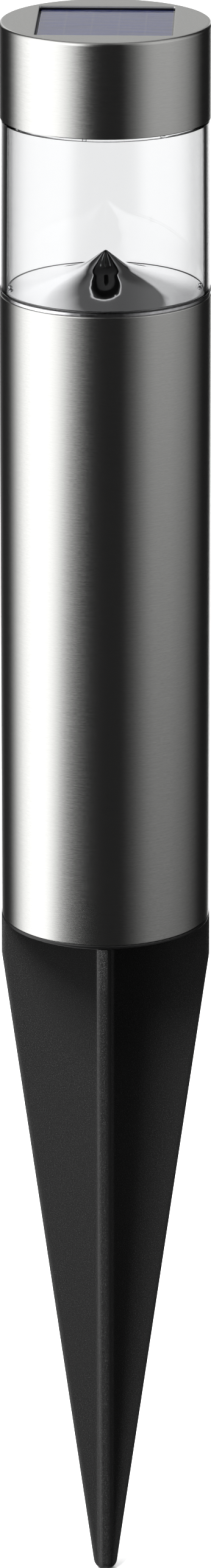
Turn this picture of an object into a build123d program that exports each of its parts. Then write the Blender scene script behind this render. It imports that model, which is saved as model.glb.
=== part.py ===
# Solar post light: a brushed steel tube on a plastic ground spike, with a clear lens and a steel head.
# Sizes are in millimetres. +Z is up and the front is -Y. The origin lies on the axis at ground level,
# on the underside of the collar that stops the spike.
import os
from math import asin, atan2, cos, hypot, radians, sin, sqrt, tan

from build123d import *

# Fits: radial play of what slides or turns, play of what is fixed, and the air between loose neighbours
slide_fit = 0.08
fixed_fit = 0.05
free_gap = 0.3

# How near two measures are when they count as the same
near = 1e-3

# Post tube
tube_radius = 30.0
tube_wall = 0.6
tube_length = 185.6

# Ground spike: collar, cross of fins below it, and the plug that stands in the tube
collar_height = 1.2
collar_overhang = 0.1
collar_edge = 0.35
spike_depth = 208.4
fin_count = 4
fin_thickness = 3.2
fin_shoulder = 12.0
fin_tip_radius = 3.5
fin_edge = 0.7
fin_root = 0.4
plug_height = 24.0
plug_wall = 2.2
plug_lead = 1.0
plug_web = 2.0
plug_web_height = 16.0

# Lens: a clear moulded tube with a foot flange, a spigot at each end, ribs above and lugs below.
# The insets of the lens, its flange and the cap are measured from the tube's outside.
lens_height = 50.0
lens_inset = 0.45
lens_taper = 0.35
lens_wall = 1.8
flange_inset = 0.15
flange_height = 1.2
flange_edge = 0.27
step_drop = 1.2
foot_spigot_wall = 2.0
foot_spigot_height = 8.0
head_spigot_gap = 0.9
head_spigot_height = 6.0
shoulder_edge = 0.4
rib_count = 8
rib_height = 0.8
rib_width = 1.0
rib_proud = 0.2
rib_start = -100.0
hook_angles = (-172.0, 1.0, 90.0)
hook_width = 4.0
hook_height = 1.0
hook_reach = 0.8

# Bayonet between the lens and the ring in the tube's top
lug_count = 3
lug_angle = 16.0
lug_play_angle = 1.0
lug_height = 2.0
lug_reach = 1.2
lug_play = 0.1
lug_drop = 5.2
lock_turn = 20.0
adapter_wall = 2.5
adapter_height = 10.0
adapter_gap = 0.2

# Reflector cone: a straight flank at the apex, a bend, and a flare that runs out to the rim.
# Each slope is an angle down from level.
cone_height = 10.8
cone_flank_radius = 4.3
cone_flank_slope = 36.6
cone_bend_radius = 8.5
cone_flare_slope = 21.0
cone_wall = 1.4
cone_rim_height = 0.8
cone_rim_land = 1.4
cone_play = 0.3
cone_tip_radius = 0.4

# Steel cap, and its square window, which leaves a margin of sheet at each corner
cap_inset = 0.3
cap_height = 27.2
cap_wall = 0.6
cap_edge = 0.9
window_margin = 2.6
window_corner = 0.6

# Solar panel under the window: gasket, clear cover, cells and board, clamped by the panel frame
gasket_height = 0.3
gasket_land = 0.55
panel_land = 0.85
panel_corner = 1.0
panel_cover = 0.7
panel_rim = 1.3
cell_sheet = 0.3
panel_board = 1.0
frame_floor = 3.5
frame_ledge = 7.0
pocket_play = 0.15
frame_drop = 0.2

# Head housing: a cup that stands in the lens spigot and a wider wall inside the cap
cup_recess = 1.3
cup_floor = 1.6
cup_wall = 1.8
cup_edge = 0.6
housing_shoulder = 1.6
housing_wall = 1.5
pillar_inset = 2.9
pillar_radius = 3.8
pillar_angles = (90.0, 210.0, 330.0)
pillar_screw_rise = 11.2

# Screws, as head radius, head height, shank radius and shank length
head_screw = (2.1, 1.4, 1.1, 9.6)
board_screw = (1.9, 1.2, 0.9, 4.6)
door_screw = (1.9, 1.2, 1.0, 5.0)
screw_play = 0.05
screw_recess_play = 0.2

# Rechargeable cell, its bay and contacts. The cell is as long as the door's chord in the cup leaves room for.
cell_radius = 5.25
cell_edge = 0.6
cell_nub_radius = 1.9
cell_nub_height = 1.0
bay_inset = 3.0
bay_play = 0.25
bay_wall = 1.0
contact_sheet = 0.4
contact_width = 7.0
contact_tab = 3.0
contact_tab_rise = 1.6
leaf_room = 3.8

# Battery door, flush in the cup's floor, with an ear for each screw
door_sheet = 1.0
door_land = 0.8
door_rim = 0.7
door_play = 0.2
ear_radius = 3.0
ear_end = 5.6
ear_inset = 3.0

# Circuit board and what it carries. The chip and the choke are placed from its front corners.
board_rise = 5.2
board_sheet = 1.2
board_side_gap = 1.7
board_rim_gap = 0.85
board_bay_gap = 1.3
board_corner = 1.0
post_radius = 2.2
post_inset = 2.5
led_radius = 2.45
led_flange_radius = 2.9
led_flange_height = 1.0
led_drop = 2.4
led_length = 8.5
led_hole_play = 0.25
lead_size = 0.5
lead_spacing = 2.54
lead_hole_radius = 0.5
switch_size = (8.6, 4.4, 4.7)
switch_inset = 6.5
switch_cavity_depth = 1.0
knob_size = (2.0, 1.6)
knob_proud = 1.5
knob_travel = 3.0
chip_size = (5.2, 1.6, 3.7)
chip_inset = (6.5, 11.5)
choke_radius = 1.9
choke_waist = 1.5
choke_length = 6.5
choke_inset = (6.5, 10.0)

# Wires: where each is soldered to the board, and how far the panel's run straight from each end
wire_radius = 0.5
wire_bend = 2.6
panel_wire_place = (6.0, -4.9)
panel_wire_spread = 3.0
panel_wire_run = 5.4
battery_wire_place = (10.0, -3.9)

# Rubber rings
ring_radius = 0.65
ring_depth = 1.3

# Levels and radii that follow
tube_bore = tube_radius - tube_wall
tube_foot = collar_height
tube_top = tube_foot + tube_length
lens_shoulder = tube_top + lens_height
lens_foot_radius = tube_radius - lens_inset
lens_top_radius = lens_foot_radius - lens_taper
flange_radius = tube_radius - flange_inset
step_radius = tube_bore - slide_fit
step_base = tube_top - step_drop
head_base = lens_shoulder + rib_height
head_top = head_base + cap_height
cap_radius = tube_radius - cap_inset
cap_bore = cap_radius - cap_wall
window_size = (cap_radius - window_margin) * sqrt(2)
panel_size = window_size + 2 * panel_land
cell_sheet_size = panel_size - 2 * panel_rim
frame_opening = panel_size - 2 * frame_ledge
head_spigot_radius = cap_bore - head_spigot_gap
head_spigot_bore = head_spigot_radius - lens_wall
head_spigot_top = lens_shoulder + head_spigot_height
adapter_radius = tube_bore - fixed_fit
adapter_bore = adapter_radius - adapter_wall
foot_spigot_radius = adapter_bore - slide_fit
foot_spigot_bore = foot_spigot_radius - foot_spigot_wall
foot_spigot_base = tube_top - foot_spigot_height
lug_radius = foot_spigot_radius + lug_reach
lug_base = tube_top - lug_drop - lug_height
seal_base = tube_top - lug_drop + ring_radius
rim_base = tube_top + flange_height - cone_rim_height + lug_play
rim_top = rim_base + cone_rim_height
lens_foot_bore = lens_foot_radius - lens_wall
lens_top_bore = lens_top_radius - lens_wall
cone_radius = lens_foot_bore - cone_play
adapter_top = step_base - adapter_gap
cup_radius = head_spigot_bore - free_gap
cup_bore = cup_radius - cup_wall
cup_base = head_base + cup_recess
floor_top = cup_base + cup_floor
housing_radius = cap_bore - fixed_fit
pillar_circle = cup_bore - pillar_inset
shoulder_base = head_spigot_top + free_gap
panel_top = head_top - cap_wall - gasket_height
panel_base = panel_top - panel_cover - cell_sheet - panel_board
frame_base = panel_base - frame_floor
board_base = floor_top + board_rise
board_top = board_base + board_sheet
bay_width = 2 * (cell_radius + bay_play)
bay_front = led_radius + led_hole_play + bay_inset
bay_offset = bay_front + bay_width / 2
door_back = bay_front + bay_width + door_land
bay_length = 2 * (sqrt((cup_radius - door_rim) ** 2 - door_back**2) - door_land)
cell_length = bay_length - cell_nub_height - leaf_room - contact_sheet
cell_axis = cup_base + door_sheet + free_gap + cell_radius
bay_top = cell_axis + cell_radius + bay_play
pillar_ledge = floor_top + pillar_screw_rise
switch_base = board_base - switch_size[2]
led_top = board_base - led_drop
led_tip = led_top - led_length
ear_x = bay_length / 2 - ear_end
ear_y = bay_front - ear_inset
board_width = 2 * (pillar_circle * cos(radians(pillar_angles[-1])) - pillar_radius - board_side_gap)
board_front = -sqrt((cup_bore - board_rim_gap) ** 2 - (board_width / 2) ** 2)
board_back = bay_front - bay_wall - board_bay_gap
switch_y = board_front + switch_inset


def rod(radius, low, high, x=0.0, y=0.0):
    shape = Cylinder(radius, high - low, align=(Align.CENTER, Align.CENTER, Align.MIN))
    return Pos(x, y, low) * shape


def pipe(outer, inner, low, high, x=0.0, y=0.0):
    return rod(outer, low, high, x, y) - rod(inner, low, high, x, y)


def block(width, depth, low, high, x=0.0, y=0.0):
    shape = Box(width, depth, high - low, align=(Align.CENTER, Align.CENTER, Align.MIN))
    return Pos(x, y, low) * shape


def turned(points, arc=360.0):
    """A solid of revolution about the axis, from points given as radius and height."""
    outline = Polyline([(radius, 0, height) for radius, height in points], close=True)
    return revolve(make_face(outline), Axis.Z, arc)


def segment(inner, outer, low, high, middle, width):
    """A piece of a ring, centred on an angle in degrees."""
    corners = [(inner, low), (outer, low), (outer, high), (inner, high)]
    return Rot(0, 0, middle - width / 2) * turned(corners, width)


def circles(shape, height, radius):
    """The round edges of a shape at one height and radius."""
    rounds = shape.edges().filter_by(GeomType.CIRCLE)
    return [e for e in rounds if abs(e.center().Z - height) < near and abs(e.radius - radius) < near]


def together(pieces):
    """Separate solids as one node."""
    return Compound(children=[solid for piece in pieces for solid in piece.solids()])


def rounded_square(size, corner, low, high):
    return extrude(Plane.XY.offset(low) * RectangleRounded(size, size, corner), high - low)


def cut_square(size, cut, low, high):
    """A square plate with its corners cut off."""
    plate = block(size, size, low, high)
    return chamfer(plate.edges().filter_by(Axis.Z), cut)


def screw(sizes, seat, x, y, upward=True):
    """A pan head screw whose head bears on a seat level, with its shank above it or below it."""
    head_radius, head_height, shank_radius, shank_length = sizes
    turn = Rot(0 if upward else 180, 0, 0)
    head = rod(head_radius, -head_height, 0)
    head = fillet(circles(head, -head_height, head_radius), head_height / 2)
    slot = block(head_radius, head_height / 3, -head_height, -head_height / 2)
    slot += block(head_height / 3, head_radius, -head_height, -head_height / 2)
    shank = rod(shank_radius, 0, shank_length)
    shank = chamfer(circles(shank, shank_length, shank_radius), shank_radius / 2)
    return Pos(x, y, seat) * turn * (head - slot + shank)


def on_circle(radius, angle):
    place = Vector(radius, 0, 0).rotate(Axis.Z, angle)
    return place.X, place.Y


def fin_pair():
    """Two opposite fins as one plate: shoulders, straight taper and round tip."""
    reach = tube_radius + collar_overhang
    drop = spike_depth - fin_tip_radius - fin_shoulder
    slant = atan2(reach, drop) - asin(fin_tip_radius / hypot(reach, drop))
    tip = -spike_depth + fin_tip_radius
    side = (fin_tip_radius * cos(slant), tip - fin_tip_radius * sin(slant))
    right = Polyline((0, 0), (reach, 0), (reach, -fin_shoulder), side)
    round_tip = ThreePointArc(side, (0, -spike_depth), (-side[0], side[1]))
    left = Polyline((-side[0], side[1]), (-reach, -fin_shoulder), (-reach, 0), (0, 0))
    face = Plane.XZ * make_face(right + round_tip + left)
    plate = extrude(face, fin_thickness / 2, both=True)
    sides = [e for e in plate.edges() if abs(abs(e.center().Y) - fin_thickness / 2) < near]
    return fillet([e for e in sides if e.center().Z < 0], fin_edge)


def make_ground_spike():
    reach = tube_radius + collar_overhang
    collar = rod(reach, 0, collar_height)
    collar = fillet(circles(collar, 0, reach) + circles(collar, collar_height, reach), collar_edge)
    plate = fin_pair()
    quarter = 360 / fin_count
    fins = plate + Rot(0, 0, quarter) * plate
    root = fin_thickness + fin_root
    web = Rot(0, 0, quarter / 2) * block(root * sqrt(2), root * sqrt(2), 2 * fin_tip_radius - spike_depth, 0)
    plug_radius = tube_bore - slide_fit
    plug_top = collar_height + plug_height
    plug = pipe(plug_radius, plug_radius - plug_wall, collar_height, plug_top)
    plug = chamfer(circles(plug, plug_top, plug_radius), plug_lead)
    bars = block(2 * plug_radius - plug_wall, plug_web, collar_height, collar_height + plug_web_height)
    bars += Rot(0, 0, quarter) * bars
    return collar + fins + web + plug + bars


def make_post_tube():
    return pipe(tube_radius, tube_bore, tube_foot, tube_top)


def make_tube_adapter():
    """The ring fixed in the tube's top, with a bayonet slot for each lug of the lens."""
    ring = pipe(adapter_radius, adapter_bore, adapter_top - adapter_height, adapter_top)
    outer = lug_radius + lug_play
    inner = foot_spigot_radius
    groove_low = lug_base - lug_play
    groove_high = lug_base + lug_height + lug_play
    width = lug_angle + 2 * lug_play_angle
    for number in range(lug_count):
        locked = number * 360 / lug_count
        entry = locked + lock_turn
        ring -= segment(inner, outer, groove_low, adapter_top, entry, width)
        ring -= segment(inner, outer, groove_low, groove_high, locked + lock_turn / 2, width + lock_turn)
    return ring


def make_lens():
    """The clear lens, with its inner ledge for the reflector at the foot."""
    flange_top = tube_top + flange_height
    inner_step = lens_shoulder - lens_wall
    body = turned([
        (foot_spigot_bore, foot_spigot_base),
        (foot_spigot_radius, foot_spigot_base),
        (foot_spigot_radius, step_base),
        (step_radius, step_base),
        (step_radius, tube_top),
        (flange_radius, tube_top),
        (flange_radius, flange_top),
        (lens_foot_radius, flange_top),
        (lens_top_radius, lens_shoulder),
        (head_spigot_radius, lens_shoulder),
        (head_spigot_radius, head_spigot_top),
        (head_spigot_bore, head_spigot_top),
        (head_spigot_bore, inner_step + lens_top_bore - head_spigot_bore),
        (lens_top_bore, inner_step),
        (lens_foot_bore, rim_base),
        (foot_spigot_bore, rim_base),
    ])
    rims = circles(body, tube_top, flange_radius) + circles(body, flange_top, flange_radius)
    body = fillet(rims, flange_edge)
    body = fillet(circles(body, lens_shoulder, lens_top_radius), shoulder_edge)
    body -= pipe(foot_spigot_radius, foot_spigot_radius - ring_depth, seal_base, seal_base + 2 * ring_radius)
    for number in range(rib_count):
        angle = rib_start + number * 360 / rib_count
        middle = (head_spigot_radius + lens_top_radius + rib_proud) / 2
        length = lens_top_radius + rib_proud - head_spigot_radius + rib_width / 2
        rib = block(length, rib_width, lens_shoulder - rib_height / 2, head_base, middle - rib_width / 4)
        body += Rot(0, 0, angle) * rib
    for number in range(lug_count):
        body += segment(foot_spigot_radius - ring_depth / 2, lug_radius, lug_base, lug_base + lug_height,
                        number * 360 / lug_count, lug_angle)
    for angle in hook_angles:
        hook_low = rim_top + free_gap
        body += segment(cone_radius - hook_reach, lens_foot_bore + lens_wall / 2, hook_low,
                        hook_low + hook_height, angle, hook_width)
    return body


def make_lens_seal():
    middle = foot_spigot_radius + slide_fit / 2 - ring_radius
    return Pos(0, 0, seal_base + ring_radius) * Torus(middle, ring_radius)


def cone_side(tip, rim):
    """The cone's side from its tip to its rim: flank, bend and flare, each tangent to the next."""
    flank_slope, flare_slope = radians(cone_flank_slope), radians(cone_flare_slope)
    flank = (cone_flank_radius, tip[1] - (cone_flank_radius - tip[0]) * tan(flank_slope))
    bend_drop = (cone_bend_radius - cone_flank_radius) * tan((flank_slope + flare_slope) / 2)
    bend = (cone_bend_radius, flank[1] - bend_drop)
    side = Line(tip, flank)
    side += TangentArc(flank, bend, tangent=(cos(flank_slope), -sin(flank_slope)))
    return side + TangentArc(bend, rim, tangent=(cos(flare_slope), -sin(flare_slope)))


def make_reflector():
    """The mirror cone: a shell, steep at the apex and nearly flat at the rim."""
    apex = rim_top + cone_height
    hollow_apex = apex - cone_wall
    tip = (cone_tip_radius, apex)
    hollow_tip = (cone_tip_radius, hollow_apex)
    rim = (cone_radius, rim_top)
    foot = (cone_radius, rim_base)
    land = (cone_radius - cone_rim_land, rim_base)
    outline = Polyline(hollow_tip, (0, hollow_apex), (0, apex), tip)
    outline += cone_side(tip, rim)
    outline += Polyline(rim, foot, land)
    outline += cone_side(hollow_tip, land)
    return revolve(Plane.XZ * make_face(outline), Axis.Z)


def make_cap_shell():
    body = rod(cap_radius, head_base, head_top)
    body = fillet(circles(body, head_top, cap_radius), cap_edge)
    hollow = rod(cap_bore, head_base, head_top - cap_wall)
    hollow = fillet(circles(hollow, head_top - cap_wall, cap_bore), cap_edge - cap_wall)
    window = rounded_square(window_size, window_corner, head_top - 2 * cap_wall, head_top)
    return body - hollow - window


def make_window_gasket():
    top = head_top - cap_wall
    outer = cut_square(panel_size, panel_corner, panel_top, top)
    return outer - cut_square(panel_size - 2 * gasket_land, panel_corner, panel_top, top)


def make_panel_cover():
    return cut_square(panel_size, panel_corner, panel_top - panel_cover, panel_top)


def make_solar_cells():
    top = panel_top - panel_cover
    return block(cell_sheet_size, cell_sheet_size, top - cell_sheet, top)


def make_panel_board():
    """The panel's backing board, with a rim that frames the cells."""
    top = panel_top - panel_cover
    board = cut_square(panel_size, panel_corner, panel_base, top)
    return board - block(cell_sheet_size, cell_sheet_size, top - cell_sheet, top)


def make_panel_frame():
    pocket = panel_size + 2 * pocket_play
    frame = rod(housing_radius, frame_base, panel_top - frame_drop)
    frame -= cut_square(pocket, panel_corner, panel_base, panel_top)
    frame -= block(frame_opening, frame_opening, frame_base, panel_base)
    shank = head_screw[2] - screw_play
    for angle in pillar_angles:
        x, y = on_circle(pillar_circle, angle)
        frame -= rod(shank + screw_play, frame_base, pillar_ledge + head_screw[3] + screw_play, x, y)
    return frame


def bay_box(margin, low, high):
    """The space of the battery bay, wider by a margin all round."""
    return block(bay_length + 2 * margin, bay_width + 2 * margin, low, high, 0, bay_offset)


def door_outline(margin, low, high):
    """The battery door's outline: a plate over the bay with an ear for each screw."""
    shape = bay_box(door_land + margin, low, high)
    radius = ear_radius + margin
    for side in (-1, 1):
        x = side * ear_x
        shape += rod(radius, low, high, x, ear_y)
        shape += block(2 * radius, ear_inset, low, high, x, ear_y + ear_inset / 2)
    return shape


def post_places():
    """Where the two front board posts stand."""
    return [(side * (board_width / 2 - post_inset), board_front + post_inset) for side in (-1, 1)]


def make_head_housing():
    """The black moulding that fills the cap: cup, floor, battery bay, pillars and posts."""
    housing = turned([
        (0, cup_base),
        (cup_radius, cup_base),
        (cup_radius, shoulder_base),
        (housing_radius, shoulder_base),
        (housing_radius, frame_base),
        (housing_radius - housing_wall, frame_base),
        (housing_radius - housing_wall, shoulder_base + housing_shoulder),
        (cup_bore, shoulder_base + housing_shoulder),
        (cup_bore, floor_top),
        (0, floor_top),
    ])
    housing = fillet(circles(housing, cup_base, cup_radius), cup_edge)
    bay_round = rod(cup_bore + cup_wall / 2, cup_base + door_sheet, bay_top + bay_wall)
    housing += bay_round & bay_box(bay_wall, cup_base + door_sheet, bay_top + bay_wall)
    for angle in pillar_angles:
        x, y = on_circle(pillar_circle, angle)
        housing += rod(pillar_radius, cup_base + door_sheet, frame_base, x, y)
    for x, y in post_places():
        housing += rod(post_radius, cup_base + door_sheet, board_base, x, y)
    for side in (-1, 1):
        housing += rod(post_radius, cup_base + door_sheet, board_base, side * ear_x, ear_y)
    housing -= pipe(cup_radius, cup_radius - ring_depth, floor_top, floor_top + 2 * ring_radius)
    housing -= bay_box(0, cup_base, bay_top)
    housing -= door_outline(door_play, cup_base, cup_base + door_sheet)
    for side in (-1, 1):
        slot_x = side * (bay_length / 2 - contact_sheet / 2)
        housing -= block(contact_sheet, contact_tab, bay_top, bay_top + bay_wall, slot_x, bay_offset)
        hole_top = cup_base + door_sheet + door_screw[3]
        housing -= rod(door_screw[2] + screw_play, cup_base, hole_top, side * ear_x, ear_y)
    for x, y in post_places():
        housing -= rod(board_screw[2], board_base - board_screw[3], board_base, x, y)
    for angle in pillar_angles:
        x, y = on_circle(pillar_circle, angle)
        housing -= rod(head_screw[0] + screw_recess_play, cup_base, pillar_ledge, x, y)
        housing -= rod(head_screw[2] + screw_play, pillar_ledge, frame_base, x, y)
    housing -= rod(led_radius + led_hole_play, cup_base, floor_top)
    slot_length = knob_size[0] + knob_travel + 2 * free_gap
    housing -= block(slot_length, knob_size[1] + 2 * free_gap, cup_base, floor_top, 0, switch_y)
    return housing


def make_head_seal():
    middle = cup_radius + free_gap - fixed_fit - ring_radius
    return Pos(0, 0, floor_top + ring_radius) * Torus(middle, ring_radius)


def make_head_screws():
    places = [on_circle(pillar_circle, angle) for angle in pillar_angles]
    return together([screw(head_screw, pillar_ledge, x, y) for x, y in places])


def make_circuit_board():
    middle = (board_front + board_back) / 2
    board = block(board_width, board_back - board_front, board_base, board_top, 0, middle)
    board = fillet(board.edges().filter_by(Axis.Z), board_corner)
    for side in (-1, 1):
        board -= rod(lead_hole_radius, board_base, board_top, side * lead_spacing / 2)
    for x, y in post_places():
        board -= rod(board_screw[2] + screw_play, board_base, board_top, x, y)
    return board


def make_board_screws():
    length = board_screw[3] + board_sheet - free_gap
    sizes = (*board_screw[:3], length)
    return together([screw(sizes, board_top, x, y, upward=False) for x, y in post_places()])


def make_led():
    """The lamp: a clear domed body that points down through the floor."""
    body_low = led_tip + led_radius
    body = rod(led_radius, body_low, led_top - led_flange_height)
    dome = Pos(0, 0, body_low) * Sphere(led_radius)
    return body + dome + rod(led_flange_radius, led_top - led_flange_height, led_top)


def make_led_leads():
    high = board_top + board_sheet / 2
    return together([block(lead_size, lead_size, led_top, high, side * lead_spacing / 2) for side in (-1, 1)])


def make_control_chip():
    width, depth, height = chip_size
    x, y = board_width / 2 - chip_inset[0], board_front + chip_inset[1]
    body = block(width, depth, board_top, board_top + height, x, y)
    return chamfer(body.edges().filter_by(Axis.Z).sort_by(Axis.Y)[:2], depth / 4)


def make_choke():
    """The converter's coil, a drum lying on the board."""
    x, y = choke_inset[0] - board_width / 2, board_front + choke_inset[1]
    drum = rod(choke_radius, -choke_length / 2, choke_length / 2)
    waist = pipe(choke_radius, choke_waist, -choke_length / 4, choke_length / 4)
    return Pos(x, y, board_top + choke_radius) * Rot(0, 90, 0) * (drum - waist)


def make_switch_body():
    width, depth, height = switch_size
    body = block(width, depth, switch_base, board_base, 0, switch_y)
    slot = knob_size[0] + knob_travel + 2 * free_gap
    cavity = block(slot, knob_size[1] + 2 * free_gap, switch_base, switch_base + switch_cavity_depth, 0,
                   switch_y)
    return body - cavity


def make_switch_knob():
    low = cup_base - knob_proud
    high = switch_base + switch_cavity_depth - free_gap
    knob = block(*knob_size, low, high, -knob_travel / 2, switch_y)
    return chamfer(knob.faces().sort_by(Axis.Z)[0].edges(), free_gap)


def make_battery_cell():
    """The rechargeable cell, lying along X with its nub at +X."""
    plus_end = bay_length / 2 - contact_sheet - cell_nub_height
    can = Cylinder(cell_radius, cell_length, align=(Align.CENTER, Align.CENTER, Align.MAX))
    can = fillet(can.edges().filter_by(GeomType.CIRCLE), cell_edge)
    nub = Cylinder(cell_nub_radius, cell_nub_height, align=(Align.CENTER, Align.CENTER, Align.MIN))
    return Pos(plus_end, bay_offset, cell_axis) * Rot(0, 90, 0) * (can + nub)


def contact_plate(side):
    """A contact sheet against one end of the bay, with a tab up through the roof."""
    x = side * (bay_length - contact_sheet) / 2
    tab_top = bay_top + bay_wall + contact_tab_rise
    plate = block(contact_sheet, contact_width, cup_base + door_sheet + free_gap, bay_top, x, bay_offset)
    return plate + block(contact_sheet, contact_tab, bay_top, tab_top, x, bay_offset)


def make_contact_plus():
    return contact_plate(1)


def make_contact_minus():
    """The other contact, whose sheet is bent into a leaf that presses on the cell."""
    wall = -bay_length / 2 + contact_sheet
    crest = wall + leaf_room - contact_sheet
    foot = cell_axis - cell_radius / 2
    head = cell_axis + cell_radius / 2
    side = [(wall, foot), (crest, cell_axis), (wall, head)]
    back = [(wall, head - contact_sheet), (crest - contact_sheet, cell_axis), (wall, foot + contact_sheet)]
    outline = Polyline([(x, 0, z) for x, z in side + back], close=True)
    leaf = extrude(make_face(outline), contact_tab / 2, both=True)
    return contact_plate(-1) + Pos(0, bay_offset, 0) * leaf


def make_battery_door():
    door = door_outline(0, cup_base, cup_base + door_sheet)
    for side in (-1, 1):
        door -= rod(door_screw[2] + screw_play, cup_base, cup_base + door_sheet, side * ear_x, ear_y)
    return door


def make_door_screws():
    return together([screw(door_screw, cup_base, side * ear_x, ear_y) for side in (-1, 1)])


def wire(points):
    """A round wire along straight runs joined by arcs."""
    route = FilletPolyline(*points, radius=wire_bend)
    start = Plane(origin=route @ 0, z_dir=route % 0)
    return sweep(start * Circle(wire_radius), path=route)


def make_panel_wires():
    pieces = []
    for side in (-1, 1):
        x, y = side * panel_wire_place[0], panel_wire_place[1]
        end = side * panel_wire_spread
        low_bend = (x, y, board_top + panel_wire_run)
        high_bend = (end, 0, panel_base - panel_wire_run)
        pieces.append(wire([(x, y, board_top), low_bend, high_bend, (end, 0, panel_base)]))
    return together(pieces)


def make_battery_wires():
    level = bay_top + bay_wall + contact_tab_rise / 2
    pieces = []
    for side in (-1, 1):
        x = side * (bay_length / 2 - contact_sheet - wire_radius)
        land_x, land_y = side * battery_wire_place[0], battery_wire_place[1]
        side_bend = (x, land_y / 2, level)
        down_bend = (land_x, land_y, level - wire_radius)
        pieces.append(wire([(x, bay_offset, level), side_bend, down_bend, (land_x, land_y, board_top)]))
    return together(pieces)


makers = {
    "ground_spike": make_ground_spike,
    "post_tube": make_post_tube,
    "tube_adapter": make_tube_adapter,
    "lens": make_lens,
    "lens_seal": make_lens_seal,
    "reflector_cone": make_reflector,
    "cap_shell": make_cap_shell,
    "window_gasket": make_window_gasket,
    "panel_cover": make_panel_cover,
    "solar_cells": make_solar_cells,
    "panel_board": make_panel_board,
    "panel_frame": make_panel_frame,
    "head_housing": make_head_housing,
    "head_seal": make_head_seal,
    "head_screws": make_head_screws,
    "circuit_board": make_circuit_board,
    "board_screws": make_board_screws,
    "led": make_led,
    "led_leads": make_led_leads,
    "control_chip": make_control_chip,
    "choke": make_choke,
    "switch_body": make_switch_body,
    "switch_knob": make_switch_knob,
    "battery_cell": make_battery_cell,
    "contact_plus": make_contact_plus,
    "contact_minus": make_contact_minus,
    "battery_door": make_battery_door,
    "door_screws": make_door_screws,
    "panel_wires": make_panel_wires,
    "battery_wires": make_battery_wires,
}

os.makedirs("parts", exist_ok=True)
for name, make in makers.items():
    export_step(make(), f"parts/{name}.step")
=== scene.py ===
# Looks of the garden post light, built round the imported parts. Lengths are in metres, angles in degrees.
import math

import bmesh
import bpy
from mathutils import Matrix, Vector


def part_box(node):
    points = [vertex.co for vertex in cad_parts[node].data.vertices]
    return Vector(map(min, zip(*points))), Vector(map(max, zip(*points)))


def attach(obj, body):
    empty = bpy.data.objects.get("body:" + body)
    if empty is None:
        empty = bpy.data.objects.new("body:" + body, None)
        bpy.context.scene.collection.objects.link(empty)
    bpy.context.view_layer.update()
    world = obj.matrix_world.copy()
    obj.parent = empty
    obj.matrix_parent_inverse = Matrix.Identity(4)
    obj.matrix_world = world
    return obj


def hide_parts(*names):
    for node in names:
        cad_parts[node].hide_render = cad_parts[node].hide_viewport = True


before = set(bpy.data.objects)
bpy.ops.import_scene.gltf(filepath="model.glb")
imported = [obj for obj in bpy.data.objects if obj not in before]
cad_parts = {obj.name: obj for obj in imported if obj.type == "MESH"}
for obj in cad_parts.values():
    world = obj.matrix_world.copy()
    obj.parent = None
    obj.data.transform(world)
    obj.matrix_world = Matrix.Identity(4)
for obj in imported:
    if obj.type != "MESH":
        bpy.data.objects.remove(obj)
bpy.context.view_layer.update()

mm = 0.001
scene = bpy.context.scene

# Sheet of the tube and the cap: its thickness, its rolled edge, the cap's top edge, and the window
steel_sheet = 0.6 * mm
sheet_edge = 0.12 * mm
cap_edge = 0.9 * mm
window_half = 19.16 * mm
window_corner = 0.6 * mm
corner_step = 0.12
corner_points = 12

# Potting over the cells: its corners, its rounded edge as insets and drops, and the gap that it leaves at
# the window's left edge
potting_corner = 1.0 * mm
potting_edge = (0.3 * mm, 0.1 * mm, 0.05 * mm, 0.2 * mm)
potting_gap = 0.5 * mm

# Cone: the radius and the slope down from level where the straight flank ends and where the flare starts
cone_apex_height = 10.8 * mm
cone_flank = (4.3 * mm, 36.6)
cone_flare = (8.5 * mm, 21.0)
cone_wall = 1.4 * mm
cone_tip = 0.4 * mm
cone_rim_edge = 0.1 * mm

# Lens: outer radius at its foot and top, then the flange, whose metallised part stops short of its top
lens_wall = 1.6 * mm
lens_radius = (29.55 * mm, 29.2 * mm)
lens_edge = 0.15 * mm
lens_chamfer = 0.2 * mm
flange_radius = 29.85 * mm
flange_height = 1.2 * mm
flange_edge = 0.27 * mm
flange_clear = 0.12 * mm
flange_fillet = 0.1 * mm
step_radius = 29.32 * mm
step_drop = 1.2 * mm

# Outer and inner radius of each spigot, and the depth and foot of the groove in the lower one
foot_spigot = (26.77 * mm, 24.77 * mm)
head_spigot = (28.2 * mm, 27.55 * mm)
seal_groove = (1.3 * mm, 3.45 * mm)

# Ribs as height, width and reach past the wall; lugs as reach, height and angle
rib_size = (0.8 * mm, 1.0 * mm, 0.2 * mm)
rib_edge = 0.12 * mm
rib_start = -100
rib_count = 8
lug_size = (1.2 * mm, 2.0 * mm, 16)
lug_rise = 0.8 * mm
lug_count = 3
hook_angles = (-172, 1, 90)
hook_size = (0.7 * mm, 1.0 * mm, 0.55 * mm)

# The air between blocks that don't touch, and the angle past which an edge is drawn sharp
seat_gap = 0.02 * mm
sharp_angle = 35

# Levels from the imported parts
ground_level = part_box("ground_spike")[0].z
tube_low, tube_high = (corner.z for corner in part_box("post_tube"))
tube_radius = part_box("post_tube")[1].x
cap_low, cap_high = (corner.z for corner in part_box("cap_shell"))
cap_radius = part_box("cap_shell")[1].x
cone_low, cone_high = (corner.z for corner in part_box("reflector_cone"))
cone_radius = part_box("reflector_cone")[1].x
cone_reach = cone_radius + 0.46 * mm
hook_place = (cone_radius - 0.55 * mm, cone_low + 1.55 * mm)
cells_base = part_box("solar_cells")[0].z

# Camera: where it stands, how it is turned, and its lens
camera_distance = 1.650
camera_height = 0.6227
camera_side = 1.7
camera_pitch = 15.015
camera_lens = 138.75
camera_shift = (0.0, -0.3)


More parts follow.
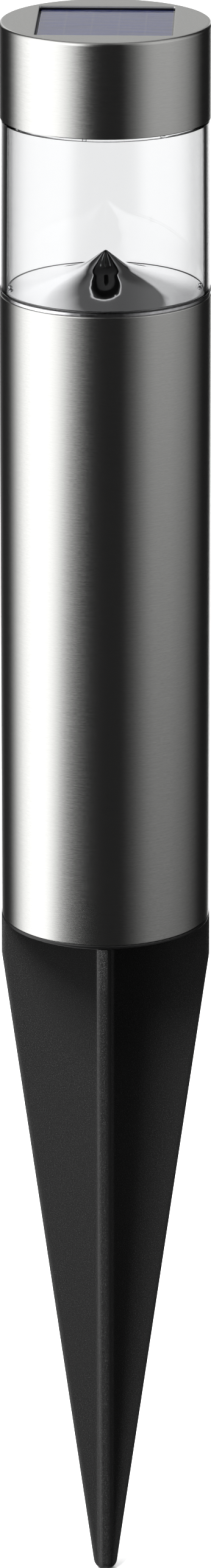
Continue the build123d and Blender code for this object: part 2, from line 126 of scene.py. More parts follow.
class Tree:
    """A node tree while it is written."""

    def __init__(self, owner):
        owner.use_nodes = True
        self.tree = owner.node_tree

    def add(self, kind, inputs=None, **settings):
        made = self.tree.nodes.new(kind)
        for key, value in settings.items():
            setattr(made, key, value)
        for key, value in (inputs or {}).items():
            if isinstance(value, bpy.types.NodeSocket):
                self.tree.links.new(value, made.inputs[key])
            else:
                made.inputs[key].default_value = value
        return made

    def maths(self, operation, *values, clamp=False):
        inputs = dict(enumerate(values))
        return self.add("ShaderNodeMath", inputs, operation=operation, use_clamp=clamp).outputs[0]

    def mixed(self, factor, first, second):
        """Two numbers or sockets mixed by a factor."""
        inputs = {0: factor, 2: first, 3: second}
        return self.add("ShaderNodeMix", inputs, data_type="FLOAT").outputs[0]

    def blended(self, factor, first, second):
        """Two colours mixed by a factor."""
        inputs = {"Factor": factor, 6: first, 7: second}
        return self.add("ShaderNodeMix", inputs, data_type="RGBA").outputs[2]

    def spread(self, value, low, high, to_low=0.0, to_high=1.0):
        inputs = {"Value": value, "From Min": low, "From Max": high, "To Min": to_low, "To Max": to_high}
        return self.add("ShaderNodeMapRange", inputs).outputs[0]

    def vectors(self, operation, *values):
        return self.add("ShaderNodeVectorMath", dict(enumerate(values)), operation=operation).outputs[0]

    def noise(self, place, scale, detail):
        inputs = {"Vector": place, "Scale": scale, "Detail": detail}
        return self.add("ShaderNodeTexNoise", inputs).outputs[0]

    def bump(self, depth, height, normal=None):
        """A bumped normal, on the surface's own or on a given one."""
        inputs = {"Strength": 1.0, "Distance": depth, "Height": height}
        if normal is not None:
            inputs["Normal"] = normal
        return self.add("ShaderNodeBump", inputs).outputs[0]

    def ramp(self, factor, stops, interpolation="LINEAR"):
        """A colour ramp through stops given as place and grey level or colour."""
        made = self.add("ShaderNodeValToRGB", {"Fac": factor})
        band = made.color_ramp
        band.interpolation = interpolation
        while len(band.elements) > 1:
            band.elements.remove(band.elements[-1])
        for number, (place, tone) in enumerate(stops):
            stop = band.elements[0] if number == 0 else band.elements.new(place)
            stop.position = place
            stop.color = (*tone, 1) if isinstance(tone, tuple) else (tone, tone, tone, 1)
        return made.outputs[0]


def finish_of(name):
    """A new material with its tree and its main shader."""
    material = bpy.data.materials.new(name)
    tree = Tree(material)
    shader = next(n for n in tree.tree.nodes if n.type == "BSDF_PRINCIPLED")
    return material, tree, shader


def wire_in(tree, shader, **links):
    """Sets or links the main shader's sockets, named with underscores for spaces."""
    for key, value in links.items():
        socket = shader.inputs[key.replace("_", " ")]
        if isinstance(value, bpy.types.NodeSocket):
            tree.tree.links.new(value, socket)
        else:
            socket.default_value = value


def make_camera():
    data = bpy.data.cameras.new("camera")
    data.lens = camera_lens
    data.shift_x, data.shift_y = camera_shift
    data.clip_end = 400
    camera = bpy.data.objects.new("camera", data)
    side = math.radians(camera_side)
    camera.location = (camera_distance * math.sin(side), -camera_distance * math.cos(side), camera_height)
    camera.rotation_euler = (math.radians(90 - camera_pitch), 0, side)
    scene.collection.objects.link(camera)
    scene.camera = camera


# Light

# Brightness of the plain background
white_level = 1.06

# Studio cards that stand round the object, as azimuth and share of the card's brightness. Azimuth 0 is the
# camera's side and + is to its right. Going down, the left card's inner edge draws back and the right card
# fades, over the reach about the cards' middle.
card_middle = -15.2
card_reach = (-11.0, 7.2)
left_level = 1.75
left_outer = [(-142, 0.0), (-134, 0.0), (-127, 0.03), (-119, 0.20), (-111, 0.50), (-100, 0.82), (-84, 1.0)]
left_inner = [(-57, 1.0), (-51, 0.96), (-45, 0.69), (-37, 0.19), (-30, 0.03), (-21, 0.0)]
left_narrowing = (0.4, 2.5)
right_level = 0.365
right_card = [(18, 0.0), (24, 0.10), (31, 0.26), (38, 0.50), (46, 0.82), (55, 1.0), (74, 1.0), (85, 0.87),
              (96, 0.71), (109, 0.38), (116, 0.22), (123, 0.06), (130, 0.0)]
right_fade = 0.15
right_fade_top = 4.0
flags = [(-156, 0.02), (-20, 0.02), (100, 0.02), (130, 0.014)]
# The pale panel straight behind with the dark flags at its sides, as it is low down and higher up, the
# elevations between which it changes, its top edge, and the grey above it
panel = [(-180, 0.95), (-170, 0.95), (-166.5, 0.55), (-163, 0.08), (-158, 0.06), (-150, 0.0), (150, 0.0),
         (156, 0.05), (160, 0.08), (162, 1.1), (168, 1.15), (172, 0.95), (180, 0.95)]
upper_panel = [(-180, 0.55), (-174, 0.9), (-168, 1.1), (-156, 1.0), (-150, 0.5), (-146, 0.0), (158, 0.0),
               (161, 0.45), (170, 0.5), (180, 0.55)]
upper_start = (2, 22)
panel_top = 30.5
panel_fade = [(-180, 0.03), (-172, 0.12), (-164, 0.14), (164, 0.02), (180, 0.03)]
above_panel = [(-180, 0.09), (-168, 0.09), (-163, 0.03), (163, 0.03), (166, 0.09), (180, 0.09)]

# What stands high above, and the elevations between which it takes over
overhead = [(-180, 0.12), (-120, 0.5), (-70, 0.9), (-20, 0.2), (10, 0.04), (60, 0.4), (120, 0.35),
            (180, 0.12)]
overhead_start = (46, 58)

# Soft lights: the key light's place, size and watts, and the overhead sun's strength and width in degrees
key_light = ((-0.70, -1.08, 1.68), 0.8, 108)
overhead_light = (3.4, 70)


def azimuth_ramp(tree, azimuth, stops):
    """A tone along the azimuth, from stops in degrees."""
    places = [((angle + 180) / 360, tone) for angle, tone in stops]
    return tree.ramp(tree.spread(azimuth, -180, 180), places)


def make_world():
    world = bpy.data.worlds.new("studio")
    scene.world = world
    tree = Tree(world)
    tree.tree.nodes.clear()
    direction = tree.add("ShaderNodeTexCoord").outputs["Generated"]
    x, y, z = tree.add("ShaderNodeSeparateXYZ", {0: direction}).outputs
    turn = tree.maths("ARCTAN2", x, tree.maths("MULTIPLY", y, -1.0))
    azimuth = tree.maths("SUBTRACT", tree.maths("DEGREES", turn), camera_side)
    elevation = tree.maths("DEGREES", tree.maths("ARCSINE", z))
    rise = tree.maths("SUBTRACT", elevation, card_middle)
    rise = tree.maths("MINIMUM", tree.maths("MAXIMUM", rise, card_reach[0]), card_reach[1])
    left = left_level
    for stops, narrowing in ((left_outer, left_narrowing[0]), (left_inner, left_narrowing[1])):
        moved = tree.maths("SUBTRACT", azimuth, tree.maths("MULTIPLY", rise, narrowing))
        left = tree.maths("MULTIPLY", left, azimuth_ramp(tree, moved, stops))
    fade = tree.maths("MULTIPLY", tree.maths("MINIMUM", rise, right_fade_top), right_fade)
    fade = tree.maths("EXPONENT", fade)
    right = tree.maths("MULTIPLY", azimuth_ramp(tree, azimuth, right_card), right_level)
    right = tree.maths("MULTIPLY", right, fade)
    cards = tree.maths("ADD", tree.maths("ADD", left, right), azimuth_ramp(tree, azimuth, flags))
    upper = tree.spread(elevation, *upper_start)
    behind = tree.mixed(upper, azimuth_ramp(tree, azimuth, panel), azimuth_ramp(tree, azimuth, upper_panel))
    fading = tree.maths("MULTIPLY", azimuth_ramp(tree, azimuth, panel_fade), 100.0)
    height = tree.maths("DIVIDE", tree.maths("SUBTRACT", elevation, panel_top), fading, clamp=True)
    behind = tree.mixed(height, behind, azimuth_ramp(tree, azimuth, above_panel))
    low_part = tree.maths("ADD", cards, behind)
    high_part = azimuth_ramp(tree, azimuth, overhead)
    studio = tree.mixed(tree.spread(elevation, *overhead_start), low_part, high_part)
    camera_ray = tree.add("ShaderNodeLightPath").outputs["Is Camera Ray"]
    seen = tree.mixed(camera_ray, studio, white_level)
    back = tree.add("ShaderNodeBackground", {"Color": seen})
    tree.add("ShaderNodeOutputWorld", {"Surface": back.outputs[0]})


def add_light(data):
    """Links a light that lights surfaces but isn't seen, mirrored or seen through."""
    light = bpy.data.objects.new(data.name, data)
    light.visible_camera = light.visible_glossy = light.visible_transmission = False
    scene.collection.objects.link(light)
    return light


def make_lights():
    """A square key light from the upper left, turned to the origin, and a wide sun straight down."""
    place, size, power = key_light
    data = bpy.data.lights.new("key", "AREA")
    data.size = size
    data.energy = power
    light = add_light(data)
    light.location = place
    light.rotation_euler = (-Vector(place)).to_track_quat("-Z", "Y").to_euler()
    sun = bpy.data.lights.new("overhead", "SUN")
    sun.energy = overhead_light[0]
    sun.angle = math.radians(overhead_light[1])
    add_light(sun)


def make_floor():
    """A pale floor below the spike, far wider than the view."""
    reach = 150.0
    mesh = bpy.data.meshes.new("floor")
    corners = [(-reach, -reach, 0), (reach, -reach, 0), (reach, reach, 0), (-reach, reach, 0)]
    mesh.from_pydata([(x, y, ground_level) for x, y, _ in corners], [], [(0, 1, 2, 3)])
    floor = bpy.data.objects.new("floor", mesh)
    material, tree, shader = finish_of("pale_floor")
    wire_in(tree, shader, Base_Color=(0.9, 0.9, 0.9, 1), Roughness=0.9)
    mesh.materials.append(material)
    floor.visible_diffuse = floor.visible_glossy = floor.visible_transmission = False
    scene.collection.objects.link(floor)


# Meshes

def put(name, mesh, body, slot, *stands_for):
    """Links a finished mesh as a piece of the object."""
    piece = bpy.data.objects.new(name, mesh)
    scene.collection.objects.link(piece)
    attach(piece, body)
    if stands_for:
        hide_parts(*stands_for)
    return piece


def ring_faces(start, rings, count, closed=True):
    """Faces of a skin through rings of equally many points; when closed, the last ring joins the first."""
    faces = []
    for a in range(rings if closed else rings - 1):
        b = (a + 1) % rings
        for i in range(count):
            j = (i + 1) % count
            corners = (a * count + i, a * count + j, b * count + j, b * count + i)
            faces.append(tuple(start + corner for corner in corners))
    return faces


def smooth_mesh(name, points, faces):
    """A mesh with outward normals, smooth but for its sharp edges."""
    mesh = bpy.data.meshes.new(name)
    mesh.from_pydata(points, [], faces)
    mesh.shade_smooth()
    mesh.set_sharp_from_angle(angle=math.radians(sharp_angle))
    made = bmesh.new()
    made.from_mesh(mesh)
    bmesh.ops.recalc_face_normals(made, faces=made.faces)
    made.to_mesh(mesh)
    made.free()
    return mesh


def rings_mesh(name, rings):
    """A closed skin through a list of rings."""
    points = [point for ring in rings for point in ring]
    return smooth_mesh(name, points, ring_faces(0, len(rings), len(rings[0])))


def sector(points, faces, outline, middle, width, steps=6):
    """Adds a closed block: an outline of radius and height swept through an angle about the axis."""
    start = len(points)
    count = len(outline)
    for i in range(steps + 1):
        a = math.radians(middle - width / 2 + width * i / steps)
        points += [(r * math.cos(a), r * math.sin(a), z) for r, z in outline]
    faces += ring_faces(start, steps + 1, count, closed=False)
    faces.append(tuple(start + j for j in range(count)))
    faces.append(tuple(start + steps * count + j for j in reversed(range(count))))


def pebble(points, faces, middle, size, angle, rings=8, count=16):
    """Adds a closed rounded lump that lies across the radius at an angle."""
    start = len(points)
    c, s = math.cos(math.radians(angle)), math.sin(math.radians(angle))
    for i in range(rings + 1):
        tilt = math.pi * i / rings
        for j in range(count):
            turn = 2 * math.pi * j / count
            out = middle[0] + size[0] * math.sin(tilt) * math.cos(turn)
            along = size[1] * math.sin(tilt) * math.sin(turn)
            points.append((out * c - along * s, out * s + along * c, middle[1] + size[2] * math.cos(tilt)))
    faces += ring_faces(start, rings + 1, count, closed=False)


def circle(radius, height, angles):
    return [(radius * math.cos(a), radius * math.sin(a), height) for a in angles]


def even_angles(count):
    return [2 * math.pi * i / count for i in range(count)]


def corner_arc(centre, radius, start, end, steps):
    """Points of an arc in the plane of radius and height, from one angle to another."""
    turn = [math.radians(start + (end - start) * i / steps) for i in range(steps + 1)]
    return [(centre[0] + radius * math.cos(t), centre[1] + radius * math.sin(t)) for t in turn]


def stepped(first, last, steps=12):
    """Points in equal steps from one point to another, without the first."""
    (r, z), (end_r, end_z) = first, last
    return [(r + (end_r - r) * i / steps, z + (end_z - z) * i / steps) for i in range(1, steps + 1)]


def held(profile, hold=0.15 * mm, longest=3 * mm):
    """The profile with a point close to each end of its long straights, so that they shade flat."""
    points = []
    for i, (r, z) in enumerate(profile):
        points.append((r, z))
        next_r, next_z = profile[(i + 1) % len(profile)]
        length = math.hypot(next_r - r, next_z - z)
        if length > longest:
            shares = (hold / length, 1 - hold / length)
        else:
            shares = (0.2, 0.8) if length > 4 * hold else ()
        points += [(r + (next_r - r) * s, z + (next_z - z) * s) for s in shares]
    return points


def make_tube():
    """The tube's sheet, with a small rolled edge at each end."""
    angles = even_angles(320)
    bore = tube_radius - steel_sheet
    e = sheet_edge
    profile = corner_arc((tube_radius - e, tube_low + e), e, -90, 0, 3)
    profile += corner_arc((tube_radius - e, tube_high - e), e, 0, 90, 3)
    profile += corner_arc((bore + e, tube_high - e), e, 90, 180, 3)
    profile += corner_arc((bore + e, tube_low + e), e, 180, 270, 3)
    profile = held(profile)
    mesh = rings_mesh("post_tube_sheet", [circle(r, z, angles) for r, z in profile])
    return put("post_tube_sheet", mesh, "post", "brushed_steel", "post_tube")


def square_reach(angle, half, corner):
    """How far a rounded square reaches from its middle at an angle."""
    c, s = abs(math.cos(angle)), abs(math.sin(angle))
    c, s = max(c, s), min(c, s)
    straight = half / c
    if straight * s <= half - corner:
        return straight
    middle = half - corner
    along = middle * (c + s)
    return along + math.sqrt(along * along - 2 * middle * middle + corner * corner)


def make_cap():
    """The cap's sheet: wall, rounded top edge, and the window with its small rolled edge."""
    angles = even_angles(288)
    for quarter in range(4):
        middle = math.pi / 4 + quarter * math.pi / 2
        steps = [k for k in range(-corner_points, corner_points + 1) if k]
        angles += [middle + math.radians(corner_step * k) for k in steps]
    angles = sorted(set(a % (2 * math.pi) for a in angles))

    def square(half, height):
        corner = window_corner + half - window_half
        reach = [square_reach(a, half, corner) for a in angles]
        return [(r * math.cos(a), r * math.sin(a), height) for r, a in zip(reach, angles)]

    e, sheet = sheet_edge, steel_sheet
    bore = cap_radius - sheet
    inner_edge = cap_edge - sheet
    wall = corner_arc((bore + e, cap_low + e), e, 180, 270, 2)
    wall += corner_arc((cap_radius - e, cap_low + e), e, 270, 360, 2)
    wall.append((cap_radius, cap_low + 2 * e))
    wall.append((cap_radius, cap_high - cap_edge - e))
    wall += corner_arc((cap_radius - cap_edge, cap_high - cap_edge), cap_edge, 0, 90, 8)
    wall.append((cap_radius - cap_edge - e, cap_high))
    rings = [circle(r, z, angles) for r, z in wall]
    rings.append(square(window_half + 3 * e, cap_high))
    for half, height in [(e, 0), (0.4 * e, 0.2 * e), (0, 0.8 * e), (0, sheet - 0.5 * e), (e, sheet)]:
        rings.append(square(window_half + half, cap_high - height))
    inner = corner_arc((bore - inner_edge, cap_high - cap_edge), inner_edge, 90, 0, 3)
    rings += [circle(r, z, angles) for r, z in inner]
    mesh = rings_mesh("cap_sheet", rings)
    return put("cap_sheet", mesh, "head", "brushed_steel", "cap_shell")


def lens_profile():
    """The turned outline of the lens, from the foot's bore up the outside and down the inside."""
    foot, top = lens_radius
    base, spigot_top = (corner.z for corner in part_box("lens"))
    shoulder = cap_low - rib_size[0]
    spigot, spigot_bore = foot_spigot
    head, head_bore = head_spigot
    groove, groove_low = seal_groove
    groove_low += base
    step_base = tube_high - step_drop
    flange_low, flange_top = tube_high + seat_gap, tube_high + flange_height
    bore_high = spigot_top - lens_chamfer
    f, e, c = flange_edge, lens_edge, lens_chamfer
    profile = [(spigot_bore, base), (spigot, base), (spigot, groove_low), (spigot - groove, groove_low),
               (spigot - groove, groove_low + groove), (spigot, groove_low + groove), (spigot, step_base),
               (step_radius, step_base), (step_radius, flange_low)]
    profile += corner_arc((flange_radius - f, flange_low + f), f, -90, 0, 8)
    profile.append((flange_radius, flange_top - flange_clear))
    profile += corner_arc((flange_radius - f, flange_top - f), f, 0, 80, 8)
    profile += [(foot + seat_gap, flange_top), (foot, flange_top + flange_fillet)]
    profile += stepped((foot, flange_top), (top, shoulder - e))
    profile += corner_arc((top - e, shoulder - e), e, 15, 90, 6)
    profile += [(head + e, shoulder), (head, shoulder + e), (head, spigot_top - c), (head - c, spigot_top),
                (head_bore + c, spigot_top), (head_bore, spigot_top - c)]
    profile += stepped((head_bore, bore_high), (foot - lens_wall, cone_low))
    profile.append((spigot_bore, cone_low))
    return held(profile)


def add_ribs(points, faces):
    """Ribs on the shoulder, below the cap."""
    height, width, proud = rib_size
    shoulder = cap_low - height
    inside, outside = head_spigot[0] + seat_gap, lens_radius[1] + proud
    low, high = shoulder + seat_gap, shoulder + height - seat_gap
    outline = [(inside, low), (outside - rib_edge, low), (outside, low + rib_edge),
               (outside, high - rib_edge), (outside - rib_edge, high), (inside, high)]
    for number in range(rib_count):
        middle = rib_start + number * 360 / rib_count
        sector(points, faces, outline, middle, math.degrees(width / outside), 3)


def add_lugs(points, faces):
    """Bayonet lugs on the foot spigot."""
    reach, height, angle = lug_size
    spigot = foot_spigot[0]
    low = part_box("lens")[0].z + lug_rise
    outline = [(spigot + seat_gap, low), (spigot + reach, low), (spigot + reach, low + height),
               (spigot + seat_gap, low + height)]
    for number in range(lug_count):
        sector(points, faces, outline, number * 360 / lug_count, angle)


def make_lens():
    """The clear lens, with its ribs and lugs, its metallised flange, and the hooks at the cone's rim."""
    angles = even_angles(384)
    profile = lens_profile()
    points = [point for r, z in profile for point in circle(r, z, angles)]
    faces = ring_faces(0, len(profile), len(angles))
    add_ribs(points, faces)
    add_lugs(points, faces)
    clear_faces = len(faces)
    for angle in hook_angles:
        pebble(points, faces, hook_place, hook_size, angle)
    mesh = smooth_mesh("lens_clear", points, faces)
    mesh.materials.append(clear("clear_lens", 1.49, (0.985, 0.988, 0.992)))
    mesh.materials.append(metal("metallised_rim", (0.88, 0.88, 0.9), 0.12))
    flange_top, flange_root = tube_high + flange_height - flange_clear, lens_radius[0] + 0.05 * mm
    for number, face in enumerate(mesh.polygons):
        x, y, z = face.center
        on_flange = tube_high < z < flange_top and math.hypot(x, y) > flange_root
        if number >= clear_faces or on_flange:
            face.material_index = 1
    return put("lens_clear", mesh, "lens_unit", "clear_plastic", "lens")


def make_panel_cover():
    """The panel's clear potting: a rounded plate that encloses the cells."""
    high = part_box("panel_cover")[1]
    half, top, base = high.x, high.z, cells_base + seat_gap
    top_inset, side_inset, side_drop, edge_drop = potting_edge
    angles = even_angles(240)
    rings = []
    levels = ((top_inset, top), (side_inset, top - side_drop), (0.0, top - edge_drop), (0.0, base))
    for inset, height in levels:
        reach = [square_reach(a, half - inset, potting_corner) for a in angles]
        left = potting_gap + inset - window_half
        rings.append([(max(r * math.cos(a), left), r * math.sin(a), height) for r, a in zip(reach, angles)])
    points = [point for ring in rings for point in ring]
    count = len(angles)
    faces = ring_faces(0, len(rings), count, closed=False)
    faces.append(tuple(range(count)))
    faces.append(tuple(len(points) - 1 - i for i in range(count)))
    mesh = smooth_mesh("panel_potting", points, faces)
    mesh.materials.append(potting_resin())
    return put("panel_potting", mesh, "head", "panel_glass", "panel_cover")


def falling_arc(start, slope, end, steps):
    """Points of the arc that leaves its start at a slope in degrees down from level, without the start."""
    chord = math.atan2(start[1] - end[1], end[0] - start[0])
    turn = 2 * (math.radians(slope) - chord)
    reach = math.hypot(end[0] - start[0], end[1] - start[1])
    points = []
    for i in range(1, steps + 1):
        part = math.sin(turn * i / steps / 2) / math.sin(turn / 2) if abs(turn) > 1e-6 else i / steps
        share = reach * part
        heading = math.radians(slope) - turn * i / steps / 2
        points.append((start[0] + share * math.cos(heading), start[1] - share * math.sin(heading)))
    return points


def cone_side(tip, rim, steps):
    """The cone's side from tip to rim: a straight flank, a bend and a long flare."""
    (flank_radius, flank_slope), (bend_radius, flare_slope) = cone_flank, cone_flare
    flank_drop = (flank_radius - tip[0]) * math.tan(math.radians(flank_slope))
    flank = (flank_radius, tip[1] - flank_drop)
    middle_slope = math.radians((flank_slope + flare_slope) / 2)
    bend = (bend_radius, flank[1] - (bend_radius - flank_radius) * math.tan(middle_slope))
    side = [tip] + stepped(tip, flank, 6)
    side += falling_arc(flank, flank_slope, bend, steps // 3)
    return side + falling_arc(bend, flare_slope, rim, steps)


def make_cone():
    """The mirror cone: its side, a flat rim, and the hollow below."""
    angles = even_angles(256)
    rim_top = cone_high - cone_apex_height
    inner_apex = cone_high - cone_wall
    land = cone_reach - cone_wall
    e = cone_rim_edge
    outside = [(cone_tip * 0.2, cone_high)]
    outside += cone_side((cone_tip, cone_high - 0.06 * mm), (cone_reach - e, rim_top), 36)
    outside += [(cone_reach, rim_top - e), (cone_reach, cone_low)]
    inside = list(reversed(cone_side((cone_tip, inner_apex), (land, cone_low), 18)))
    inside.append((cone_tip * 0.2, inner_apex))
    mesh = rings_mesh("cone_mirror", [circle(r, z, angles) for r, z in outside + inside])
    return put("cone_mirror", mesh, "lens_unit", "mirror_coat", "reflector_cone")


# Materials

def round_coordinates(tree):
    """Angle about the axis, height and distance from the axis, for patterns that run round the object."""
    place = tree.add("ShaderNodeTexCoord").outputs["Object"]
    x, y, z = tree.add("ShaderNodeSeparateXYZ", {0: place}).outputs
    angle = tree.maths("ARCTAN2", y, x)
    squares = tree.maths("ADD", tree.maths("MULTIPLY", x, x), tree.maths("MULTIPLY", y, y))
    return angle, z, tree.maths("SQRT", squares)


def stretched_noise(tree, scale_x, scale_y):
    """Noise in the plane of x and y, drawn out along one of them."""
    place = tree.add("ShaderNodeTexCoord").outputs["Object"]
    x, y = tree.add("ShaderNodeSeparateXYZ", {0: place}).outputs[:2]
    vector = tree.add("ShaderNodeCombineXYZ", {0: tree.maths("MULTIPLY", x, scale_x),
                                               1: tree.maths("MULTIPLY", y, scale_y)})
    noise = tree.add("ShaderNodeTexNoise", {"Vector": vector.outputs[0], "Scale": 1.0, "Detail": 3.0})
    return x, y, noise.outputs[0]


def streaks(tree, along, across, depth, scale_along, scale_across):
    """Noise drawn out along one direction."""
    vector = tree.add("ShaderNodeCombineXYZ", {0: tree.maths("MULTIPLY", along, scale_along),
                                               1: tree.maths("MULTIPLY", across, scale_across),
                                               2: tree.maths("MULTIPLY", depth, scale_across)}).outputs[0]
    return tree.add("ShaderNodeTexNoise", {"Vector": vector, "Scale": 1.0, "Detail": 3.0}).outputs[0]


# Brushed steel: its two tones, the depth of the lines, and how dense the fine and coarse lines are round
# the axis and across it
steel_tones = [(0.3, (0.585, 0.585, 0.57)), (0.7, (0.655, 0.655, 0.64))]
brush_depth = 0.004 * mm
fine_lines = (26.0, 5200.0)
coarse_lines = (5.0, 2200.0)


def brushed_steel(name, roughness, along, pale=1.0):
    """Steel brushed round the axis: fine lines in its colour and gloss, and a stretched highlight."""
    material, tree, shader = finish_of(name)
    angle, height, radius = round_coordinates(tree)
    fine = streaks(tree, angle, height, radius, *fine_lines)
    coarse = streaks(tree, angle, height, radius, *coarse_lines)
    grain = tree.maths("ADD", tree.maths("MULTIPLY", fine, 0.65), tree.maths("MULTIPLY", coarse, 0.35))
    # A factor above 1 pales the steel's colour as painted light, so that a face reads brighter than its
    # lighting makes it.
    tones = [(place, tuple(pale * c for c in tone)) for place, tone in steel_tones]
    colour = tree.ramp(grain, tones)
    bump = tree.bump(brush_depth, grain)
    tangent = tree.add("ShaderNodeTangent", direction_type="RADIAL", axis="Z").outputs[0]
    wire_in(tree, shader, Base_Color=colour, Metallic=1.0, Anisotropic=along, Anisotropic_Rotation=0.25,
            Roughness=tree.spread(grain, 0.3, 0.7, roughness - 0.03, roughness + 0.03), Normal=bump,
            Tangent=tangent)
    return material


def moulded(name, colour, roughness, grain_size, grain_depth, specular=0.5):
    """Moulded plastic with a spark-eroded grain and a little unevenness in its colour."""
    material, tree, shader = finish_of(name)
    place = tree.add("ShaderNodeTexCoord").outputs["Object"]
    cells = tree.add("ShaderNodeTexVoronoi", {"Vector": place, "Scale": 1 / grain_size},
                     feature="SMOOTH_F1").outputs[0]
    noise = tree.noise(place, 0.7 / grain_size, 2.0)
    grain = tree.maths("ADD", tree.maths("MULTIPLY", cells, 0.6), tree.maths("MULTIPLY", noise, 0.6))
    cloud = tree.noise(place, 90.0, 3.0)
    dark = tuple(0.82 * c for c in colour)
    light = tuple(1.18 * c for c in colour)
    tone = tree.ramp(tree.mixed(0.35, grain, cloud), [(0.25, dark), (0.75, light)])
    gloss = tree.spread(cloud, 0.3, 0.7, roughness - 0.04, roughness + 0.04)
    wire_in(tree, shader, Base_Color=tone, Roughness=gloss, Normal=tree.bump(grain_depth, grain),
            Specular_IOR_Level=specular)
    return material


# The spike's plastic: the pitch, depth and tones of its grain, the width and strength of its edges'
# softening, the gloss of edges and faces, and the collar's tone, edge and gloss
grain_pitch = 0.2 * mm
grain_depth = 0.05 * mm
grain_tones = [(0.36, 0.007), (0.5, 0.013), (0.6, 0.026), (0.7, 0.085)]
fin_edge = 1.4 * mm
edge_turn = 1.8
fin_roughness = (0.26, 0.5)
collar_tone = (0.004, 0.004, 0.004, 1)
collar_edge = 0.15 * mm
collar_roughness = 0.3


def spike_plastic():
    """The spike's black plastic: grain with light specks, softened glossy edges, a smooth dark collar."""
    material, tree, shader = finish_of("black_grain")
    place = tree.add("ShaderNodeTexCoord").outputs["Object"]
    height = tree.add("ShaderNodeSeparateXYZ", {0: place}).outputs[2]
    specks = tree.noise(place, 1 / grain_pitch, 2.0)
    cells = tree.add("ShaderNodeTexVoronoi", {"Vector": place, "Scale": 0.7 / grain_pitch}).outputs[0]
    collar = tree.spread(height, -0.1 * mm, 0.0)
    grain = tree.maths("ADD", specks, tree.maths("MULTIPLY", cells, 0.4))
    grain = tree.maths("MULTIPLY", grain, tree.maths("SUBTRACT", 1.0, collar))
    colour = tree.blended(collar, tree.ramp(specks, grain_tones), collar_tone)
    softening = tree.spread(collar, 0.0, 1.0, fin_edge, collar_edge)
    softened = tree.add("ShaderNodeBevel", {"Radius": softening}, samples=6).outputs[0]
    flat = tree.add("ShaderNodeNewGeometry").outputs["Normal"]
    away = tree.vectors("SUBTRACT", softened, flat)
    away = tree.add("ShaderNodeVectorMath", {0: away, "Scale": edge_turn}, operation="SCALE").outputs[0]
    turned = tree.vectors("NORMALIZE", tree.vectors("ADD", flat, away))
    flatness = tree.add("ShaderNodeVectorMath", {0: softened, 1: flat}, operation="DOT_PRODUCT")
    gloss = tree.spread(flatness.outputs["Value"], 0.78, 0.98, *fin_roughness)
    gloss = tree.mixed(collar, gloss, collar_roughness)
    wire_in(tree, shader, Base_Color=colour, Roughness=gloss, Normal=tree.bump(grain_depth, grain, turned))
    return material


def clear(name, ior, tint, roughness=0.0, through=1.0):
    """Clear moulded plastic or resin."""
    material, tree, shader = finish_of(name)
    wire_in(tree, shader, Base_Color=(*tint, 1), Roughness=roughness, IOR=ior, Transmission_Weight=through)
    return material


def mirror_coat():
    """Bright metallised plastic, very slightly uneven."""
    material, tree, shader = finish_of("mirror_coat")
    noise = tree.noise(tree.add("ShaderNodeTexCoord").outputs["Object"], 120.0, 1.5)
    wire_in(tree, shader, Base_Color=(0.86, 0.86, 0.87, 1), Metallic=1.0, Roughness=0.04,
            Normal=tree.bump(0.03 * mm, noise))
    return material


def metal(name, colour, roughness):
    """Plated small metal parts."""
    material, tree, shader = finish_of(name)
    noise = tree.noise(tree.add("ShaderNodeTexCoord").outputs["Object"], 900.0, 3.0)
    tone = tree.ramp(noise, [(0.3, tuple(0.85 * c for c in colour)), (0.7, colour)])
    gloss = tree.spread(noise, 0.3, 0.7, roughness - 0.06, roughness + 0.06)
    wire_in(tree, shader, Base_Color=tone, Metallic=1.0, Roughness=gloss)
    return material


# Solar panel: how dense the waves are along x and y in the potting and in the cells, the width of a cell
# strip, the pitch of the silver fingers, and half the share that a finger and a bar take of their pitch
potting_waves = (60.0, 420.0)
cell_waves = (45.0, 420.0)
cell_strip = 7.5 * mm
finger_pitch = 1.9 * mm
finger_share = 0.035
bar_share = 0.03


def potting_resin():
    """Clear resin with fine waves across the panel."""
    material, tree, shader = finish_of("panel_clear")
    waves = stretched_noise(tree, *potting_waves)[2]
    wire_in(tree, shader, Base_Color=(0.96, 0.965, 0.98, 1), Roughness=0.0, IOR=1.5,
            Transmission_Weight=1.0, Normal=tree.bump(0.05 * mm, waves))
    return material


def solar_silicon():
    """Blue cells in strips with fine silver fingers, which show only faintly."""
    material, tree, shader = finish_of("solar_silicon")
    x, y, sheen = stretched_noise(tree, *cell_waves)

    def lines(along, pitch, share):
        place = tree.maths("FRACT", tree.maths("DIVIDE", along, pitch))
        return tree.maths("LESS_THAN", tree.maths("ABSOLUTE", tree.maths("SUBTRACT", place, 0.5)), share)

    line = tree.maths("MAXIMUM", lines(y, finger_pitch, finger_share), lines(x, cell_strip, bar_share))
    silicon = tree.ramp(sheen, [(0.3, (0.006, 0.03, 0.34)), (0.7, (0.012, 0.045, 0.50))])
    colour = tree.blended(tree.maths("MULTIPLY", line, 0.10), silicon, (0.42, 0.43, 0.47, 1))
    wire_in(tree, shader, Base_Color=colour, Roughness=0.5, Specular_IOR_Level=0.1)
    return material


def printed_board():
    """Green solder mask over copper tracks."""
    material, tree, shader = finish_of("printed_board")
    place = tree.add("ShaderNodeTexCoord").outputs["Object"]
    mask = {"Color1": (0.02, 0.13, 0.05, 1), "Color2": (0.025, 0.16, 0.06, 1)}
    lines = {"Mortar": (0.05, 0.24, 0.08, 1), "Mortar Size": 0.035}
    tracks = tree.add("ShaderNodeTexBrick", {"Vector": place, "Scale": 260.0, **mask, **lines})
    wire_in(tree, shader, Base_Color=tracks.outputs[0], Roughness=0.35, Specular_IOR_Level=0.5)
    return material


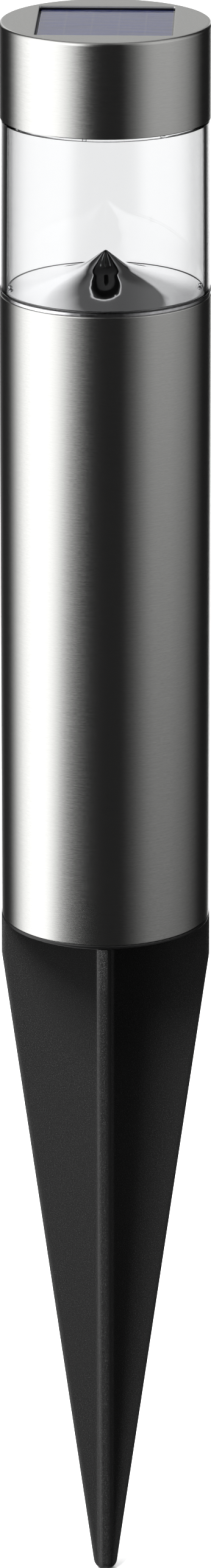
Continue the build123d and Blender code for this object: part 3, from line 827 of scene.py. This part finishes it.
def cell_sleeve():
    """Shrink sleeve with a plain band, and bare metal at the ends."""
    material, tree, shader = finish_of("cell_sleeve")
    x = tree.add("ShaderNodeSeparateXYZ", {0: tree.add("ShaderNodeTexCoord").outputs["Object"]}).outputs[0]
    low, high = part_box("battery_cell")
    along = tree.spread(x, low.x, high.x)
    bare_tone, sleeve_tone, band_tone = (0.62, 0.62, 0.6), (0.02, 0.2, 0.09), (0.85, 0.86, 0.84)
    sleeve = tree.ramp(along, [(0.0, bare_tone), (0.018, sleeve_tone), (0.66, band_tone),
                               (0.72, sleeve_tone), (0.965, bare_tone)], "CONSTANT")
    bare = tree.ramp(along, [(0.0, 1.0), (0.018, 0.0), (0.965, 1.0)], "CONSTANT")
    wire_in(tree, shader, Base_Color=sleeve, Metallic=bare, Roughness=0.33)
    return material


def make_finishes():
    """Gives every part that stays as it was packed its material."""
    inner = moulded("inner_black", (0.020, 0.020, 0.021), 0.36, 0.5 * mm, 0.008 * mm)
    rubber = moulded("soft_rubber", (0.014, 0.014, 0.014), 0.62, 0.4 * mm, 0.01 * mm, 0.3)
    chip = moulded("chip_body", (0.018, 0.018, 0.019), 0.5, 0.25 * mm, 0.006 * mm)
    knob = moulded("knob_plastic", (0.78, 0.78, 0.76), 0.35, 0.5 * mm, 0.004 * mm)
    ferrite = moulded("ferrite_drum", (0.055, 0.052, 0.05), 0.6, 0.2 * mm, 0.01 * mm)
    wire = moulded("wire_insulation", (0.42, 0.02, 0.02), 0.4, 0.5 * mm, 0.004 * mm)
    board = printed_board()
    zinc = metal("zinc_plate", (0.66, 0.67, 0.68), 0.3)
    nickel = metal("nickel_plate", (0.7, 0.68, 0.63), 0.25)
    lamp = clear("lamp_resin", 1.52, (0.42, 0.42, 0.42), 0.3, through=0.85)
    finishes = {
        "ground_spike": spike_plastic(), "tube_adapter": inner, "lens_seal": rubber,
        "window_gasket": rubber, "solar_cells": solar_silicon(), "panel_board": inner,
        "panel_frame": inner, "head_housing": inner, "head_seal": rubber, "head_screws": zinc,
        "circuit_board": board, "board_screws": zinc, "led": lamp, "led_leads": nickel,
        "control_chip": chip, "choke": ferrite, "switch_body": chip, "switch_knob": knob,
        "battery_cell": cell_sleeve(), "contact_plus": nickel, "contact_minus": nickel,
        "battery_door": inner, "door_screws": zinc, "panel_wires": wire, "battery_wires": wire,
    }
    for node, material in finishes.items():
        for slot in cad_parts[node].material_slots:
            slot.material = material


def dress_cap(sheet, wall, top):
    """One steel for the cap's wall, and for its top and the window's edge a duller one whose colour is
    paled as painted light, so that the top reads brighter.
    """
    sheet.materials.append(wall)
    sheet.materials.append(top)
    top_base, top_reach = cap_high - 1.5 * steel_sheet, cap_radius - cap_edge
    for face in sheet.polygons:
        on_top = face.center.z > top_base and math.hypot(face.center.x, face.center.y) < top_reach
        if face.normal.z > 0.95 or on_top:
            face.material_index = 1


make_camera()
make_world()
make_lights()
make_floor()
steel = brushed_steel("brushed_steel_wall", 0.20, 0.5)
# The top's steel is the wall's steel painted 15 per cent paler, as painted light, so that the cap's top
# reads brighter.
top_steel_painted_bright = brushed_steel("brushed_steel_top_painted_bright", 0.50, 0.0, 1.15)
make_tube().data.materials.append(steel)
dress_cap(make_cap().data, steel, top_steel_painted_bright)
make_panel_cover()
make_lens()
make_cone().data.materials.append(mirror_coat())
make_finishes()

scene.view_settings.view_transform = "Standard"
